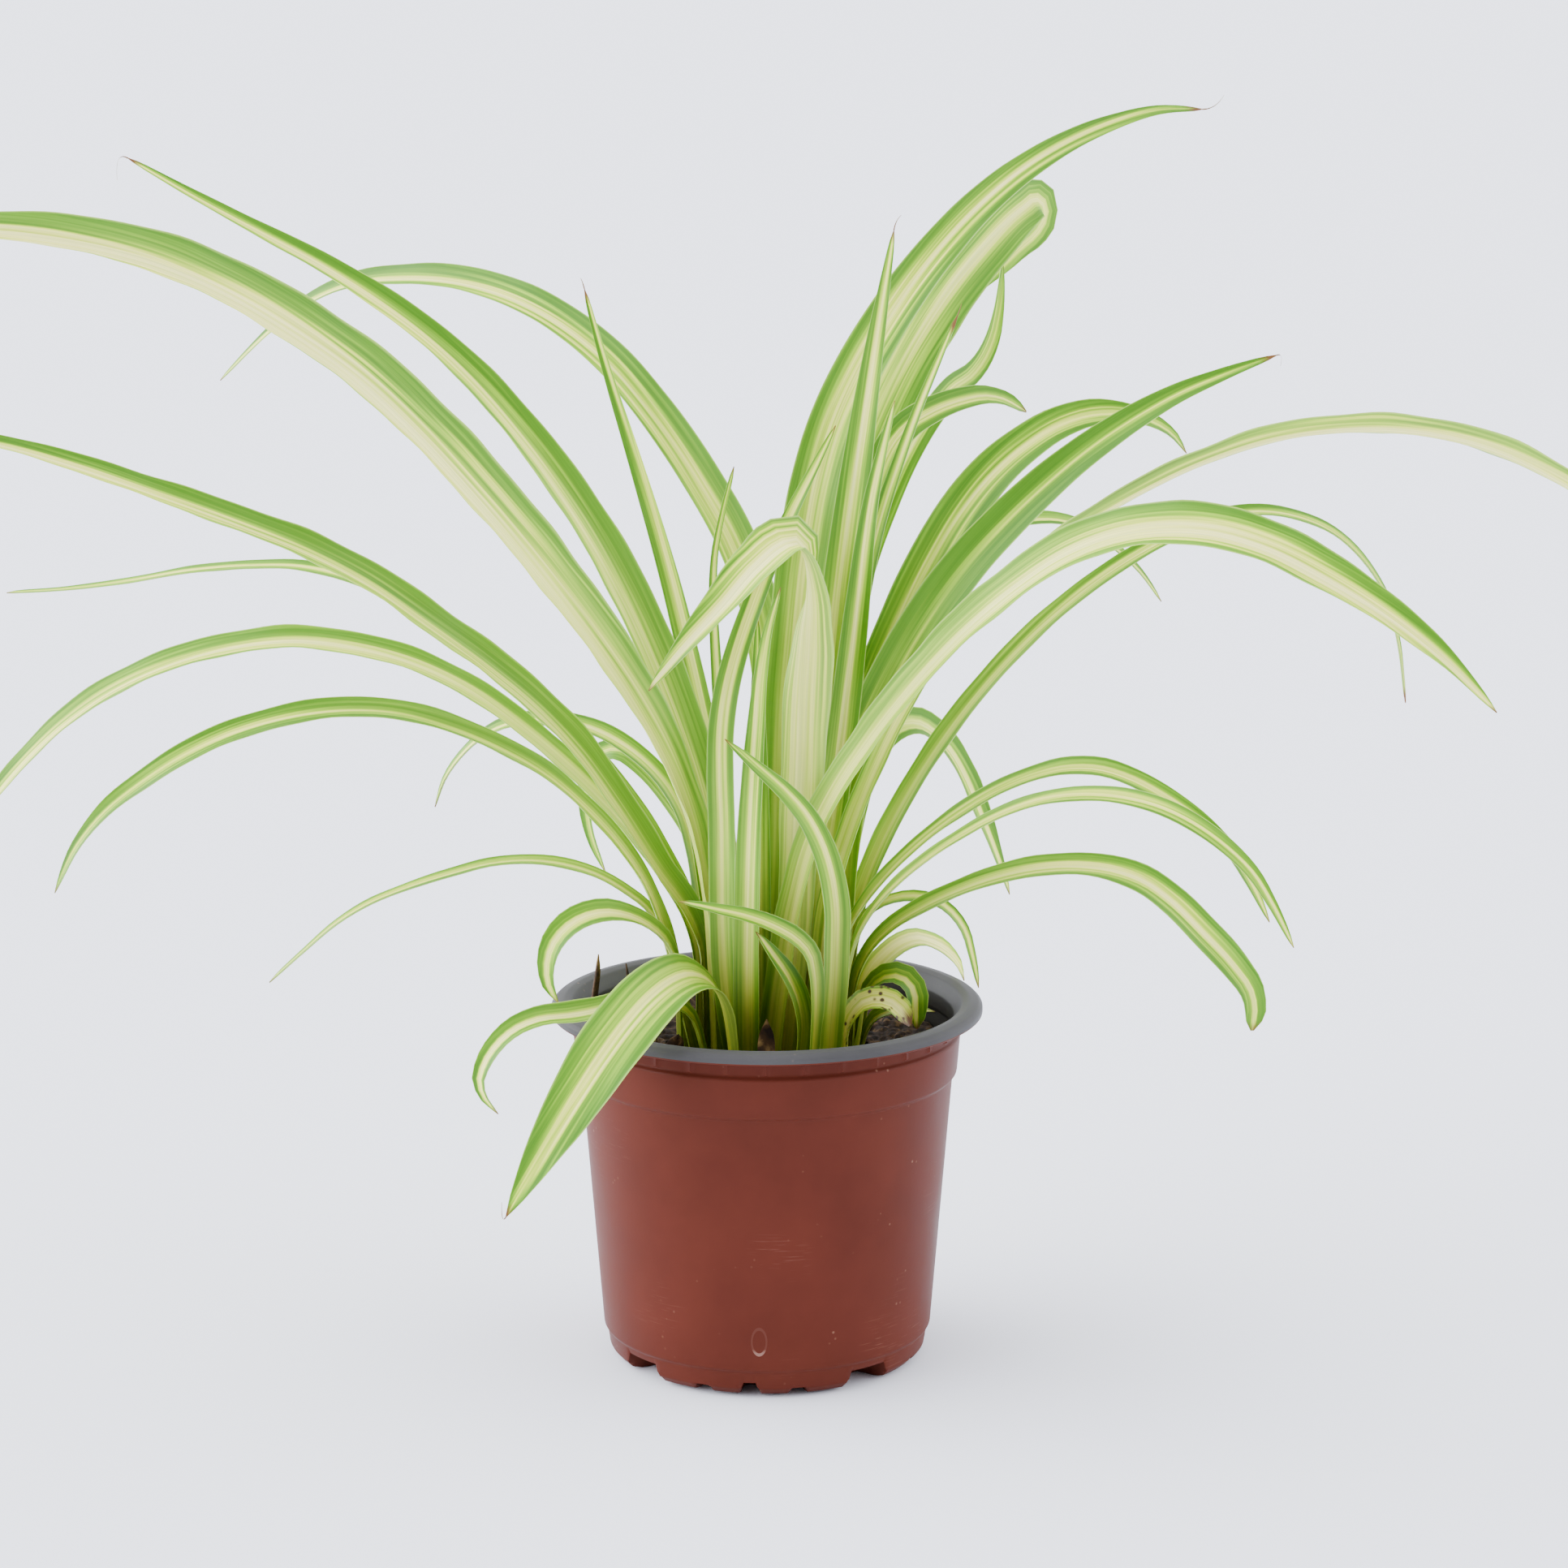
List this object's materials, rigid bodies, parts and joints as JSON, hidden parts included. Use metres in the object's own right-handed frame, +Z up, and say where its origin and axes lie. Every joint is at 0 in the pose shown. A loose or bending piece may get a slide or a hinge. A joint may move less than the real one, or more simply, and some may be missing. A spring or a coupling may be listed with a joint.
{
  "type": "potted spider plant",
  "caption": "Rosette of arching strap leaves with a cream midstripe, rooted in soil in a tapered plastic nursery pot with a rolled rim and notched foot.",
  "frame": {"origin": "centre of the flat underside of the pot, on the surface that it stands on", "axes": "+Z up along the pot's axis, front of the plant towards -Y, +X to the right seen from the front"},
  "size_m": [0.4748, 0.2294, 0.3445],
  "materials": {
    "terracotta_plastic": "satin terracotta outside, grey rim and inside",
    "potting_soil": "rough dark peat and bark",
    "rhizome": "pale matt stem tissue",
    "leaf": "satin green blade with cream midstripe",
    "dried_leaf": "dry brown shrivelled leaf"
  },
  "bodies": {
    "root": {"crown": "rhizome", "dried_leaf_front": "dried_leaf", "dried_leaf_left": "dried_leaf", "dried_scrap_edge": "dried_leaf", "dried_spike": "dried_leaf", "dried_stub_left": "dried_leaf", "leaf_back_curled": "leaf", "leaf_back_left_arch": "leaf", "leaf_back_wavy": "leaf", "leaf_chewed_stub": "leaf", "leaf_front_fallen": "leaf", "leaf_front_folded": "leaf", "leaf_front_leaning": "leaf", "leaf_front_left_bent": "leaf", "leaf_front_left_curved": "leaf", "leaf_front_small": "leaf", "leaf_front_upright": "leaf", "leaf_left_back_hanging": "leaf", "leaf_left_back_middle": "leaf", "leaf_left_back_short": "leaf", "leaf_left_giant": "leaf", "leaf_left_high": "leaf", "leaf_left_long": "leaf", "leaf_left_low_arch": "leaf", "leaf_left_over_rim": "leaf", "leaf_left_short": "leaf", "leaf_left_thin_back": "leaf", "leaf_left_thin_low": "leaf", "leaf_left_upright": "leaf", "leaf_left_wide_arch": "leaf", "leaf_middle_inner": "leaf", "leaf_middle_narrow": "leaf", "leaf_right_back_droop": "leaf", "leaf_right_back_thin": "leaf", "leaf_right_big_arch": "leaf", "leaf_right_far": "leaf", "leaf_right_front_big": "leaf", "leaf_right_hoop": "leaf", "leaf_right_long_narrow": "leaf", "leaf_right_low_front": "leaf", "leaf_right_low_middle": "leaf", "leaf_right_low_thick": "leaf", "leaf_right_lying": "leaf", "leaf_right_pale_hoop": "leaf", "leaf_right_plain": "leaf", "leaf_right_short_folded": "leaf", "leaf_right_small_arch": "leaf", "leaf_right_thin_upright": "leaf", "leaf_right_wide_arch": "leaf", "leaf_tallest_upright": "leaf", "leaf_upright_pointed": "leaf", "pot": "terracotta_plastic", "soil": "potting_soil"}
  },
  "joints": []
}
